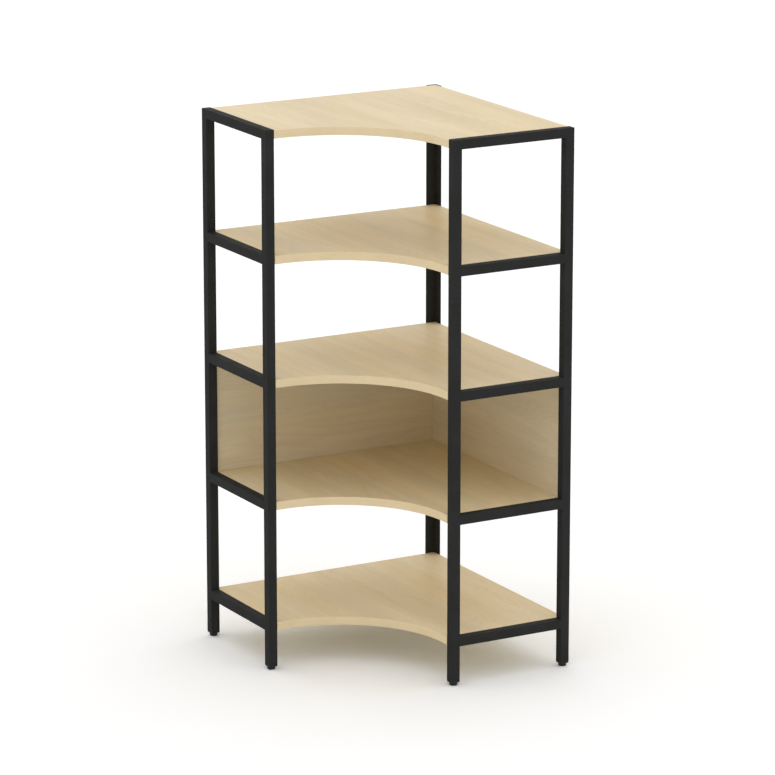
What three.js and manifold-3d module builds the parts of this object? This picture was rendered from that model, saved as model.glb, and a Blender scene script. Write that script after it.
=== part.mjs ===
// Open corner shelf unit, in millimetres. +Z is up, +X right and +Y back.
// The origin is on the floor, at the centre of the square that the unit covers. The walls of the room's
// corner are at +X and +Y, so the two wings meet there: one runs along the back wall, the other along the
// right wall.

import * as THREE from "three";
import { mergeVertices } from "three/addons/utils/BufferGeometryUtils.js";
import Module from "manifold-3d";

const wasm = await Module();
wasm.setup();

// Overall layout
const SIDE = 800; // each wing, from its side frame's outer face to the wall
const FRAME_DEPTH = 404; // depth of the side frames, and so of both wings
const LEVELS = 5;
const FIRST_LEVEL = 147.5; // floor to the top of the lowest rails
const LEVEL_PITCH = 371;
const PANELLED_LEVEL = 2; // the back panels stand on this board, counted from the floor

// Square tube of the side frames
const TUBE = 28;
const TUBE_WALL = 1.5;
const TUBE_INNER_BEND = 1;

// Folded angle of the corner post
const ANGLE_LEG = 34;
const ANGLE_WALL = 2;
const ANGLE_INNER_BEND = 1;

// Boards
const BOARD = 25;
const BOARD_DROP = 1.5; // rail top down to board top
const ARM_STRAIGHT = 23; // straight front edge beside each side frame, before the arc starts
const BOARD_CLIP = 3; // corner cut off where a board or panel sits in the fold of the corner post
const EDGE_BAND = 2;
const EDGE_BAND_ARRIS = 1;
const PANEL = 18;

// Brackets that carry the boards
const TAB_WIDTH = 40; // along the rail
const TAB_REACH = 26;
const TAB_SPACING = 220;
const BRACKET_SHEET = 3;
const PLATE_CLIP = 14; // free corner cut off the square plates in the corner post
const SCREW_CLEARANCE_HOLE = 5;

// Wood screws that hold the boards on the brackets
const SCREW_SHANK = 4;
const SCREW_LENGTH = 20;
const SCREW_TIP = 4;
const SCREW_HEAD = 8;
const SCREW_HEAD_HEIGHT = 2.6;
const SCREW_HEAD_EDGE = 1.2;

// Levelling feet and what they screw into
const FOOT_HEIGHT = 10; // floor to the lower end of the posts, with the feet screwed fully in
const FOOT = 24;
const FOOT_EDGE = 3;
const FOOT_SHOULDER = 1;
const STUD = 7.8;
const STUD_LENGTH = 32;
const STUD_CHAMFER = 1;
const STUD_HOLE = 8;
const INSERT_FLANGE = 2;
const INSERT_DEPTH = 22;
const INSERT_FINS = 3;
const INSERT_FIN = 1.2;
const INSERT_FIN_REACH = 0.8;
const WELD_NUT = 13; // across the flats
const WELD_NUT_HEIGHT = 6.5;

// Clearances
const PLAY = 0.3; // between wood and steel, and around a pushed-in piece
const SEAM = 0.1; // between pieces that are joined together or rest on each other

// How finely curves are divided
const BEND_STEPS = 2;
const ARC_STEPS = 32;
const ROUND_STEPS = 20;
const SCREW_STEPS = 8;

const QUARTER = Math.PI / 2;
const HALF = SIDE / 2;
const FRONT = HALF - FRAME_DEPTH;
const FRAME_TOP = FIRST_LEVEL + (LEVELS - 1) * LEVEL_PITCH;
const WOOD_BACK = HALF - ANGLE_WALL - PLAY;
const BOARD_END = HALF - TUBE - PLAY;
const ARC_CENTRE = TUBE + ARM_STRAIGHT - HALF;
const ARC_RADIUS = FRONT - ARC_CENTRE;
const PLATE_CENTRE = HALF - ANGLE_LEG / 2;
const TAB_SCREW_INSET = TUBE + TAB_REACH / 2;

const railTop = (level) => FIRST_LEVEL + (level - 1) * LEVEL_PITCH;
const boardTop = (level) => railTop(level) - BOARD_DROP;
const boardUnderside = (level) => boardTop(level) - BOARD;
const bracketTop = (level) => boardUnderside(level) - SEAM;
const screwSeat = (level) => bracketTop(level) - BRACKET_SHEET - SEAM;

// The panels take the place of the plate under the board above them.
const hasCornerPlate = (level) => level !== PANELLED_LEVEL + 1;

// Materials

function powderCoat() {
  return new THREE.MeshStandardMaterial({ color: 0x242322, roughness: 0.55, metalness: 0 });
}

function woodLaminate() {
  return new THREE.MeshStandardMaterial({ color: 0xdcc8a0, roughness: 0.5, metalness: 0 });
}

function bandPlastic() {
  return new THREE.MeshStandardMaterial({ color: 0xe2cda0, roughness: 0.45, metalness: 0 });
}

function zincSteel() {
  return new THREE.MeshStandardMaterial({ color: 0xb4b6b8, roughness: 0.35, metalness: 1 });
}

function blackPlastic() {
  return new THREE.MeshStandardMaterial({ color: 0x161615, roughness: 0.6, metalness: 0 });
}

// Shared shaping

function piece(name, geometry, material) {
  const mesh = new THREE.Mesh(geometry, material);
  mesh.name = name;
  return mesh;
}

function extrude(shape, depth, curveSegments) {
  return new THREE.ExtrudeGeometry(shape, { depth, curveSegments, bevelEnabled: false });
}

function solidOf(geometry) {
  const bare = geometry.clone();
  bare.deleteAttribute("normal");
  bare.deleteAttribute("uv");
  const joined = mergeVertices(bare);
  const triVerts = new Uint32Array(joined.index.array);
  const vertProperties = joined.attributes.position.array;
  return new wasm.Manifold(new wasm.Mesh({ numProp: 3, vertProperties, triVerts }));
}

function geometryOf(solid) {
  const { vertProperties, triVerts } = solid.getMesh();
  const geometry = new THREE.BufferGeometry();
  geometry.setAttribute("position", new THREE.BufferAttribute(vertProperties, 3));
  geometry.setIndex(new THREE.BufferAttribute(triVerts, 1));
  geometry.computeVertexNormals();
  return geometry;
}

// A square centred on the origin with its corners rounded.
function roundedSquare(width, radius) {
  const reach = width / 2 - radius;
  const outline = new THREE.Shape();
  outline.absarc(reach, reach, radius, 0, QUARTER);
  outline.absarc(-reach, reach, radius, QUARTER, 2 * QUARTER);
  outline.absarc(-reach, -reach, radius, 2 * QUARTER, 3 * QUARTER);
  outline.absarc(reach, -reach, radius, 3 * QUARTER, 4 * QUARTER);
  return outline;
}

function roundHole(x, y, diameter) {
  const hole = new THREE.Path();
  hole.absarc(x, y, diameter / 2, 0, 4 * QUARTER, true);
  return hole;
}

function upright(x, y, bottom, diameter, height, steps) {
  const rod = new THREE.CylinderGeometry(diameter / 2, diameter / 2, height, steps);
  rod.rotateX(QUARTER);
  rod.translate(x, y, bottom + height / 2);
  return solidOf(rod);
}

// A turned piece from a profile of [radius, height] points that starts and ends on the upright axis.
function turned(profile, steps) {
  const outline = profile.map(([radius, height]) => new THREE.Vector2(radius, height));
  return new THREE.LatheGeometry(outline, steps).rotateX(QUARTER);
}

// Side frames
// A frame has its own axes: x runs from its outer face into the unit, y along its depth from its middle.

const FRAME_END = FRAME_DEPTH / 2;
const POST_PLACE = (FRAME_DEPTH - TUBE) / 2;

// A length of tube that stands on the origin. A mitred end gets shorter towards +Y by the tube's width.
function tube(length, mitredFoot, mitredTop) {
  const outline = roundedSquare(TUBE, TUBE_INNER_BEND + TUBE_WALL);
  outline.holes.push(roundedSquare(TUBE - 2 * TUBE_WALL, TUBE_INNER_BEND));
  const geometry = extrude(outline, length, BEND_STEPS);
  const corners = geometry.attributes.position;
  for (let i = 0; i < corners.count; i += 1) {
    const across = corners.getY(i) + TUBE / 2;
    const atTop = corners.getZ(i) > length / 2;
    if (atTop && mitredTop) corners.setZ(i, length - across);
    if (!atTop && mitredFoot) corners.setZ(i, across);
  }
  return geometry;
}

// Side is 1 for the post whose mitred top slopes down towards -Y, and -1 for the one opposite.
function post(side) {
  const bottom = FOOT_HEIGHT + INSERT_FLANGE + SEAM;
  const geometry = tube(FRAME_TOP - SEAM - bottom, false, true);
  if (side > 0) geometry.rotateZ(2 * QUARTER);
  geometry.translate(TUBE / 2, side * POST_PLACE, bottom);
  return geometry;
}

// The rails lie along Y with their upper faces at height zero.
function layDown(geometry, length) {
  geometry.rotateX(-QUARTER);
  geometry.translate(TUBE / 2, -length / 2, -TUBE / 2);
  return solidOf(geometry);
}

// A folded tab: one leg is welded into the rail's inner wall, the other reaches under the board.
function tab(along) {
  const root = TUBE - TUBE_WALL;
  const tip = TUBE + TAB_REACH;
  const upper = -BOARD_DROP - BOARD - SEAM;
  const lower = upper - BRACKET_SHEET;
  const outline = new THREE.Shape();
  outline.moveTo(root, lower);
  outline.lineTo(tip, lower);
  outline.lineTo(tip, upper);
  outline.lineTo(TUBE, upper);
  outline.lineTo(TUBE, -TUBE / 2);
  outline.lineTo(root, -TUBE / 2);
  const folded = extrude(outline, TAB_WIDTH, BEND_STEPS);
  folded.rotateX(QUARTER);
  folded.translate(0, along + TAB_WIDTH / 2, 0);
  const below = lower - BRACKET_SHEET;
  const hole = upright(TAB_SCREW_INSET, along, below, SCREW_CLEARANCE_HOLE, 3 * BRACKET_SHEET, SCREW_STEPS);
  return solidOf(folded).subtract(hole);
}

function withTabs(rail) {
  return geometryOf(rail.add(tab(-TAB_SPACING / 2)).add(tab(TAB_SPACING / 2)));
}

function plainRail() {
  const length = FRAME_DEPTH - 2 * (TUBE + SEAM);
  return withTabs(layDown(tube(length, false, false), length));
}

function topRail() {
  return withTabs(layDown(tube(FRAME_DEPTH, true, true), FRAME_DEPTH));
}

// A pushed-in nut: a flange under the tube's end, a core, and fins that grip the inside of the tube.
function tubeInsert() {
  const bore = TUBE - 2 * (TUBE_WALL + PLAY);
  const core = bore - 2 * INSERT_FIN_REACH;
  const flange = extrude(roundedSquare(TUBE, TUBE_INNER_BEND + TUBE_WALL), INSERT_FLANGE, BEND_STEPS);
  const stem = extrude(roundedSquare(core, TUBE_INNER_BEND), INSERT_FLANGE + INSERT_DEPTH, 1);
  let body = solidOf(flange).add(solidOf(stem));
  for (let i = 1; i <= INSERT_FINS; i += 1) {
    const fin = extrude(roundedSquare(bore, TUBE_INNER_BEND), INSERT_FIN, 1);
    fin.translate(0, 0, INSERT_FLANGE + (i * INSERT_DEPTH) / (INSERT_FINS + 1));
    body = body.add(solidOf(fin));
  }
  const length = INSERT_FLANGE + INSERT_DEPTH;
  return geometryOf(body.subtract(upright(0, 0, -length, STUD_HOLE, 3 * length, ROUND_STEPS)));
}

// Screws and feet

// A pan-head screw, its point up and the bearing face of its head at height zero.
function woodScrew() {
  const head = SCREW_HEAD / 2;
  const shank = SCREW_SHANK / 2;
  const crown = SCREW_HEAD_HEIGHT - SCREW_HEAD_EDGE;
  const profile = [
    [0, -SCREW_HEAD_HEIGHT],
    [head - crown, -SCREW_HEAD_HEIGHT],
    [head, -SCREW_HEAD_EDGE],
    [head, 0],
    [shank, 0],
    [shank, SCREW_LENGTH - SCREW_TIP],
    [0, SCREW_LENGTH],
  ];
  return turned(profile, SCREW_STEPS);
}

// A moulded foot with its stud, standing on the origin.
function levellingFoot() {
  const foot = FOOT / 2;
  const stud = STUD / 2;
  const top = FOOT_HEIGHT - SEAM;
  const profile = [[0, 0]];
  for (let i = 0; i <= BEND_STEPS * 2; i += 1) {
    const turn = (i / (BEND_STEPS * 2)) * QUARTER;
    profile.push([foot - FOOT_EDGE * (1 - Math.sin(turn)), FOOT_EDGE * (1 - Math.cos(turn))]);
  }
  profile.push([foot, top - FOOT_SHOULDER], [foot - FOOT_SHOULDER, top], [stud, top]);
  profile.push([stud, top + STUD_LENGTH - STUD_CHAMFER], [stud - STUD_CHAMFER, top + STUD_LENGTH]);
  profile.push([0, top + STUD_LENGTH]);
  return turned(profile, ROUND_STEPS);
}

// Corner post

// The folded angle's section, its legs along the two walls.
function angleSection() {
  const inner = HALF - ANGLE_WALL;
  const fold = inner - ANGLE_INNER_BEND;
  const tip = HALF - ANGLE_LEG;
  const outline = new THREE.Shape();
  outline.moveTo(tip, HALF);
  outline.lineTo(fold, HALF);
  outline.absarc(fold, fold, ANGLE_INNER_BEND + ANGLE_WALL, QUARTER, 0, true);
  outline.lineTo(HALF, tip);
  outline.lineTo(inner, tip);
  outline.absarc(fold, fold, ANGLE_INNER_BEND, 0, QUARTER);
  outline.lineTo(tip, inner);
  return outline;
}

// A square plate between the legs, let half-way into them, its free corner cut off, with a round hole.
function cornerPlate(top, holeDiameter) {
  const wall = HALF - ANGLE_WALL / 2;
  const edge = HALF - ANGLE_LEG;
  const outline = new THREE.Shape();
  outline.moveTo(wall, wall);
  outline.lineTo(edge, wall);
  outline.lineTo(edge, edge + PLATE_CLIP);
  outline.lineTo(edge + PLATE_CLIP, edge);
  outline.lineTo(wall, edge);
  outline.holes.push(roundHole(PLATE_CENTRE, PLATE_CENTRE, holeDiameter));
  return solidOf(extrude(outline, BRACKET_SHEET, ROUND_STEPS / 2).translate(0, 0, top - BRACKET_SHEET));
}

function weldNut(bottom) {
  const acrossCorners = WELD_NUT / Math.cos(QUARTER / 3);
  const nut = upright(PLATE_CENTRE, PLATE_CENTRE, bottom, acrossCorners, WELD_NUT_HEIGHT, 6);
  const below = bottom - WELD_NUT_HEIGHT;
  const bore = upright(PLATE_CENTRE, PLATE_CENTRE, below, STUD_HOLE, 3 * WELD_NUT_HEIGHT, ROUND_STEPS);
  return nut.subtract(bore);
}

function cornerPost() {
  const footPlateTop = FOOT_HEIGHT + BRACKET_SHEET;
  const angle = extrude(angleSection(), FRAME_TOP - FOOT_HEIGHT, BEND_STEPS);
  angle.translate(0, 0, FOOT_HEIGHT);
  let body = solidOf(angle).add(cornerPlate(footPlateTop, STUD_HOLE)).add(weldNut(footPlateTop));
  for (let level = 1; level <= LEVELS; level += 1) {
    if (hasCornerPlate(level)) {
      body = body.add(cornerPlate(bracketTop(level), SCREW_CLEARANCE_HOLE));
    }
  }
  return geometryOf(body);
}

// Boards and panels

// Where screws enter a board from below: two at each side frame and one in the back corner.
function screwPlaces(level) {
  const places = [];
  for (const side of [-1, 1]) {
    const along = HALF - FRAME_END + (side * TAB_SPACING) / 2;
    places.push([TAB_SCREW_INSET - HALF, along], [along, TAB_SCREW_INSET - HALF]);
  }
  if (hasCornerPlate(level)) places.push([PLATE_CENTRE, PLATE_CENTRE]);
  return places;
}

// The board without its edge band: an L whose inner corner is one arc, tangent to both front edges.
function boardOutline() {
  const front = FRONT + EDGE_BAND + SEAM;
  const radius = ARC_RADIUS + EDGE_BAND + SEAM;
  const outline = new THREE.Shape();
  outline.moveTo(-BOARD_END, front);
  outline.lineTo(ARC_CENTRE, front);
  outline.absarc(ARC_CENTRE, ARC_CENTRE, radius, QUARTER, 0, true);
  outline.lineTo(front, -BOARD_END);
  outline.lineTo(WOOD_BACK, -BOARD_END);
  outline.lineTo(WOOD_BACK, WOOD_BACK - BOARD_CLIP);
  outline.lineTo(WOOD_BACK - BOARD_CLIP, WOOD_BACK);
  outline.lineTo(-BOARD_END, WOOD_BACK);
  return outline;
}

// A board with its underside at height zero and a blind hole for each screw.
function board(level) {
  const depth = SCREW_LENGTH - BRACKET_SHEET - SEAM;
  let body = solidOf(extrude(boardOutline(), BOARD, ARC_STEPS / 2));
  for (const [x, y] of screwPlaces(level)) {
    body = body.subtract(upright(x, y, -SEAM, SCREW_SHANK + 2 * SEAM, depth + SEAM, SCREW_STEPS));
  }
  return geometryOf(body);
}

// The front edge as a list of points, each with the direction that leads from it into the board.
function frontEdge() {
  const stations = [{ x: -BOARD_END, y: FRONT, inX: 0, inY: 1 }];
  for (let i = 0; i <= ARC_STEPS; i += 1) {
    const angle = QUARTER * (1 - i / ARC_STEPS);
    const inX = Math.cos(angle);
    const inY = Math.sin(angle);
    stations.push({ x: ARC_CENTRE + ARC_RADIUS * inX, y: ARC_CENTRE + ARC_RADIUS * inY, inX, inY });
  }
  stations.push({ x: FRONT, y: -BOARD_END, inX: 1, inY: 0 });
  return stations;
}

// The band's section as [depth into the board, height] points: square at the glued side, eased at the front.
function bandSection() {
  const section = [
    [EDGE_BAND, 0],
    [EDGE_BAND, BOARD],
  ];
  for (let i = 0; i <= BEND_STEPS; i += 1) {
    const turn = (i / BEND_STEPS) * QUARTER;
    const depth = EDGE_BAND_ARRIS * (1 - Math.sin(turn));
    section.push([depth, BOARD - EDGE_BAND_ARRIS * (1 - Math.cos(turn))]);
  }
  for (let i = 0; i <= BEND_STEPS; i += 1) {
    const turn = (i / BEND_STEPS) * QUARTER;
    section.push([EDGE_BAND_ARRIS * (1 - Math.cos(turn)), EDGE_BAND_ARRIS * (1 - Math.sin(turn))]);
  }
  return section;
}

// The band is its section carried along the front edge, closed with a flat face at each end.
function edgeBand() {
  const section = bandSection();
  const stations = frontEdge();
  const corners = [];
  for (const station of stations) {
    for (const [depth, height] of section) {
      corners.push(station.x + depth * station.inX, station.y + depth * station.inY, height);
    }
  }
  const faces = [];
  const count = section.length;
  for (let i = 0; i + 1 < stations.length; i += 1) {
    for (let j = 0; j < count; j += 1) {
      const next = (j + 1) % count;
      const near = i * count;
      const far = near + count;
      faces.push(near + j, far + next, far + j, near + j, near + next, far + next);
    }
  }
  const last = (stations.length - 1) * count;
  for (let j = 1; j + 1 < count; j += 1) {
    faces.push(0, j + 1, j);
    faces.push(last, last + j, last + j + 1);
  }
  const geometry = new THREE.BufferGeometry();
  geometry.setAttribute("position", new THREE.Float32BufferAttribute(corners, 3));
  geometry.setIndex(faces);
  geometry.computeVertexNormals();
  return geometry;
}

function panel(outline) {
  const bottom = boardTop(PANELLED_LEVEL) + PLAY;
  const top = boardUnderside(PANELLED_LEVEL + 1) - PLAY;
  return extrude(outline, top - bottom, 1).translate(0, 0, bottom);
}

// The panel along the back wall runs into the fold of the corner post.
function backWallPanel() {
  const outline = new THREE.Shape();
  outline.moveTo(-BOARD_END, WOOD_BACK - PANEL);
  outline.lineTo(WOOD_BACK, WOOD_BACK - PANEL);
  outline.lineTo(WOOD_BACK, WOOD_BACK - BOARD_CLIP);
  outline.lineTo(WOOD_BACK - BOARD_CLIP, WOOD_BACK);
  outline.lineTo(-BOARD_END, WOOD_BACK);
  return panel(outline);
}

// The panel along the right wall stops at the other one's face.
function rightWallPanel() {
  const outline = new THREE.Shape();
  outline.moveTo(WOOD_BACK - PANEL, -BOARD_END);
  outline.lineTo(WOOD_BACK, -BOARD_END);
  outline.lineTo(WOOD_BACK, WOOD_BACK - PANEL - PLAY);
  outline.lineTo(WOOD_BACK - PANEL, WOOD_BACK - PANEL - PLAY);
  return panel(outline);
}

// Assembly

// Ends names the two ends of the frame's depth: the one at -Y first, then the one at +Y.
function sideFrame(name, ends) {
  const frame = new THREE.Group();
  ends.forEach((end, i) => {
    const side = i === 0 ? -1 : 1;
    frame.add(piece(`${name}_frame_${end}_post`, post(side), powderCoat()));
    const insert = piece(`${name}_${end}_tube_insert`, tubeInsert(), blackPlastic());
    insert.position.set(TUBE / 2, side * POST_PLACE, FOOT_HEIGHT);
    const foot = piece(`${name}_${end}_levelling_foot`, levellingFoot(), blackPlastic());
    foot.position.set(TUBE / 2, side * POST_PLACE, 0);
    frame.add(insert, foot);
  });
  for (let level = 1; level <= LEVELS; level += 1) {
    const geometry = level < LEVELS ? plainRail() : topRail();
    const rail = piece(`${name}_frame_rail_${level}`, geometry, powderCoat());
    rail.position.z = railTop(level);
    frame.add(rail);
    ends.forEach((end, i) => {
      const side = i === 0 ? -1 : 1;
      const screw = piece(`shelf_${level}_screw_${name}_${end}`, woodScrew(), zincSteel());
      screw.position.set(TAB_SCREW_INSET, (side * TAB_SPACING) / 2, screwSeat(level));
      frame.add(screw);
    });
  }
  return frame;
}

function shelf(level) {
  const parts = new THREE.Group();
  const wood = piece(`shelf_${level}`, board(level), woodLaminate());
  const band = piece(`shelf_${level}_edge_band`, edgeBand(), bandPlastic());
  wood.position.z = boardUnderside(level);
  band.position.z = boardUnderside(level);
  parts.add(wood, band);
  if (hasCornerPlate(level)) {
    const screw = piece(`shelf_${level}_screw_corner`, woodScrew(), zincSteel());
    screw.position.set(PLATE_CENTRE, PLATE_CENTRE, screwSeat(level));
    parts.add(screw);
  }
  return parts;
}

function unit() {
  const whole = new THREE.Group();
  whole.name = "corner_shelf_unit";
  const left = sideFrame("left", ["front", "back"]);
  left.position.set(-HALF, HALF - FRAME_END, 0);
  const right = sideFrame("right", ["back", "front"]);
  right.rotation.z = QUARTER;
  right.position.set(HALF - FRAME_END, -HALF, 0);
  whole.add(left, right);
  whole.add(piece("corner_post", cornerPost(), powderCoat()));
  const cornerFoot = piece("corner_levelling_foot", levellingFoot(), blackPlastic());
  cornerFoot.position.set(PLATE_CENTRE, PLATE_CENTRE, 0);
  whole.add(cornerFoot);
  for (let level = 1; level <= LEVELS; level += 1) whole.add(shelf(level));
  whole.add(piece("back_wall_panel", backWallPanel(), woodLaminate()));
  whole.add(piece("right_wall_panel", rightWallPanel(), woodLaminate()));
  return whole;
}

export default unit();
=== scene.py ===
# %% [markdown]
# # A corner shelf unit in black steel and maple
#
# Two welded ladders of square steel tube stand at the ends of the wings, a thin steel angle wraps the back
# corner, and five L-shaped boards hang between them. The solids of all this were made beforehand and arrive
# as a fixed frame, in metres, with Z up. This script gives them their finishes, and adds what the solids
# leave plain: finely eased edge bands, moulded feet on threaded studs, screws with a cross recess, tube with
# crisp corners, and the welds.

# %% Load the fixed frame
import math

import bpy
import numpy as np
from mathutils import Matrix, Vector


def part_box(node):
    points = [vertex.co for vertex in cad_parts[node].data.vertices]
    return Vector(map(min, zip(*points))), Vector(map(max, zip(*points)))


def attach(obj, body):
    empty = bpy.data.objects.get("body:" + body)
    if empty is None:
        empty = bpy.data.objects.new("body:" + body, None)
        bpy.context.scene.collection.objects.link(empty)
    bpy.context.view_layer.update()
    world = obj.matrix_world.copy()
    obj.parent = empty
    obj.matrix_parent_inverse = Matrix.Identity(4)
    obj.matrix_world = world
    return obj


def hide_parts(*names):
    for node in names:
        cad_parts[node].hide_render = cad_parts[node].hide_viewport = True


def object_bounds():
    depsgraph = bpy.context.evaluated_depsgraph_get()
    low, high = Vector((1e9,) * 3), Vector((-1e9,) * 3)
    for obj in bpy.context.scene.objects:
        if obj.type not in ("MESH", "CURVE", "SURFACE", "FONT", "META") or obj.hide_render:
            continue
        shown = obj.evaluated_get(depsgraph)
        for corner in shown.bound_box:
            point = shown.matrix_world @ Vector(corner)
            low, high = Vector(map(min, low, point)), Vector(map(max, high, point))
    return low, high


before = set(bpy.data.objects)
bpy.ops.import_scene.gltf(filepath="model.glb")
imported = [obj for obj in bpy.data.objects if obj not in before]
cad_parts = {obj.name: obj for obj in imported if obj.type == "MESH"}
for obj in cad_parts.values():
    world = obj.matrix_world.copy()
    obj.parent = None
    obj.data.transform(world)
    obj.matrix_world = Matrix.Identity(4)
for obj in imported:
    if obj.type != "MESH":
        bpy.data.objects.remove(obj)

cad_low, cad_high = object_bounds()

# %% [markdown]
# ## Units and colours
#
# Blender works in metres and in linear light. Dimensions are easier to judge in millimetres, and colours are
# chosen as sRGB hex values, as on a paint card. One constant turns the first and one function the second, so
# that no other line has to think about it.

# %% Millimetres and sRGB colours
MM = 0.001


def linear(hex_colour):
    """The linear RGBA of an sRGB hex colour. A channel up to 0.04045 is divided by 12.92, and a higher one
    has 0.055 added, is divided by 1.055 and is raised to the power 2.4."""
    channels = np.array([int(hex_colour[i : i + 2], 16) for i in (1, 3, 5)]) / 255
    curve = ((channels + 0.055) / 1.055) ** 2.4
    return (*np.where(channels <= 0.04045, channels / 12.92, curve), 1.0)


def per_metre(size_mm):
    """The scale of a pattern whose features are about this wide."""
    return 1000 / size_mm


print("mid grey in linear light:", round(linear("#808080")[0], 3))

# %% [markdown]
# ## Nodes
#
# A procedural material is a small tree of nodes. Writing one by hand repeats the same three steps: make a
# node, set its properties, fill its sockets. One function does all three. A socket given another node's
# output gets a link, and a socket given a number or a colour gets that value. It hands back an output, so
# that one call can stand inside another.

# %% One function that adds a node
def node(tree, kind, sockets=None, out=0, **settings):
    """Adds a node, applies its settings, links or fills its sockets, and returns one of its outputs."""
    made = tree.nodes.new("ShaderNode" + kind)
    for name, value in settings.items():
        setattr(made, name, value)
    for key, value in (sockets or {}).items():
        if isinstance(value, bpy.types.NodeSocket):
            tree.links.new(value, made.inputs[key])
        else:
            made.inputs[key].default_value = value
    return made.outputs[out] if made.outputs else made


# A Mix node has sockets for every kind of value: its share is 0, numbers go in at 2 and 3, and colours at 6
# and 7.
MIX_COLOURS = {"out": 2, "data_type": "RGBA"}
# Noise seldom leaves this span, so carrying it to 0 and 1 uses the whole range.
NOISE_SPAN = {"From Min": 0.3, "From Max": 0.7}


def empty_tree(owner):
    owner.use_nodes = True
    owner.node_tree.nodes.clear()
    return owner.node_tree


def new_material(name, **values):
    """A material with one Principled shader, whose even values are set on its own sockets."""
    material = bpy.data.materials.new(name)
    tree = empty_tree(material)
    shader = node(tree, "BsdfPrincipled", {key.replace("_", " "): value for key, value in values.items()})
    node(tree, "OutputMaterial", {"Surface": shader})
    place = node(tree, "TexCoord", out="Object")
    return material, tree, shader.node, place


def vary(tree, shader, colour, height, depth_mm, roughness):
    """Links what every finish here varies: colour, roughness, and a relief of this depth from a height of 0
    to 1."""
    relief = node(tree, "Bump", {"Height": height, "Distance": depth_mm * MM})
    for socket, value in {"Base Color": colour, "Roughness": roughness, "Normal": relief}.items():
        tree.links.new(value, shader.inputs[socket])


print("helpers for materials are ready")

# %% [markdown]
# ## Powder-coated steel
#
# The frames are mild steel tube with a dead matte black polyester powder coat. The powder melts in an oven
# and sets with a faint orange peel, about 2 mm across and a few micrometres deep. A flat black would look
# like a hole in the picture, so three layers of noise break it: a slow change of tone, the peel, and the
# grain of the powder. In even light the coat shows hardly any sheen, only a trace on faces that are seen at a
# slant, so its specular level is far below that of a glossy paint.

# %% The coat on the frames
# The widths of the layers, in millimetres. Powder grain is about 0.05 mm. It is drawn ten times as coarse, so
# that it shows in a close view.
TONE_WIDTH = 90
PEEL_WIDTH = 2.2
POWDER_WIDTH = 0.5
SHINE_WIDTH = 25
POWDER_SHARE = 0.3
# The relief is drawn several times as deep as the real one, because a coat without shine hardly shows it.
COAT_RELIEF = 0.12
COAT_ROUGHNESS = {"To Min": 0.42, "To Max": 0.52}


def powder_coat():
    material, tree, shader, place = new_material("powder-coated steel", Specular_IOR_Level=0.008, IOR=1.5)
    cloud = node(tree, "TexNoise", {"Vector": place, "Scale": per_metre(TONE_WIDTH)})
    cloud = node(tree, "MapRange", {"Value": cloud, **NOISE_SPAN})
    colour = node(tree, "Mix", {0: cloud, 6: linear("#31312F"), 7: linear("#353534")}, **MIX_COLOURS)
    peel = node(tree, "TexNoise", {"Vector": place, "Scale": per_metre(PEEL_WIDTH), "Detail": 1.0})
    powder = node(tree, "TexNoise", {"Vector": place, "Scale": per_metre(POWDER_WIDTH)})
    height = node(tree, "Mix", {0: POWDER_SHARE, 2: peel, 3: powder})
    shine = node(tree, "TexNoise", {"Vector": place, "Scale": per_metre(SHINE_WIDTH)})
    roughness = node(tree, "MapRange", {"Value": shine, **NOISE_SPAN, **COAT_ROUGHNESS})
    vary(tree, shader, colour, height, COAT_RELIEF, roughness)
    return material


FRAME_COAT = powder_coat()
print("made:", FRAME_COAT.name)

# %% [markdown]
# ## Maple-pattern melamine
#
# The boards are chipboard under a printed melamine film, pressed against a satin plate. The print copies
# flat-sawn maple: broad soft streaks, the thin lines of growth rings, fibres about a millimetre wide and
# short pores, in a pale wood that is warmer in one place and cooler in the next. Each layer is noise
# stretched along the grain, and a table holds their sizes. The grain runs front to back on the boards and
# level on the back panels. The narrow sides carry plain edging, so a mask from the surface's own direction
# keeps the print on the two wide faces.

# %% Layers of the print
AXES = "XYZ"
MAPLE_LAYERS = {
    "streaks": dict(width=115, stretch=9, detail=3.0, distortion=0.4),
    "growth": dict(width=24, stretch=18, detail=3.0, distortion=0.5),
    "hue": dict(width=100, stretch=8, detail=1.0),
    # The contours of a slow noise are the rings, 35 of them from its lowest value to its highest.
    "rings": dict(width=110, stretch=10, detail=1.0, distortion=0.3, low=0.0, high=1.0, most=35.0),
    "fibre": dict(width=1.1, stretch=45, detail=2.0),
    # Maple's pores are about 0.1 mm wide. They are drawn as flecks five times as wide.
    "pores": dict(width=0.6, stretch=12, low=0.68, high=0.78, most=0.25),
}
LAYER_SHIFT = 7.3


def grain_layer(
    tree, place, grain, shift, width, stretch, detail=0.0, distortion=0.0, low=0.3, high=0.7, most=1.0
):
    """Noise of this width in millimetres, so many times as long along the grain, carried from the span low to
    high onto 0 to most. The shift keeps one layer from having its light and dark where another has them."""
    scale = [1 / stretch if axis == grain else 1.0 for axis in AXES]
    along = node(tree, "Mapping", {"Vector": place, "Location": [shift] * 3, "Scale": scale})
    sockets = {"Vector": along, "Scale": per_metre(width), "Detail": detail, "Distortion": distortion}
    cloud = node(tree, "TexNoise", sockets)
    return node(tree, "MapRange", {"Value": cloud, "From Min": low, "From Max": high, "To Max": most})


print("layers of the print, in mm:", {name: layer["width"] for name, layer in MAPLE_LAYERS.items()})

# %% The print on the boards and panels
EDGING_COLOUR = linear("#EFD9AE")
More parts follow.
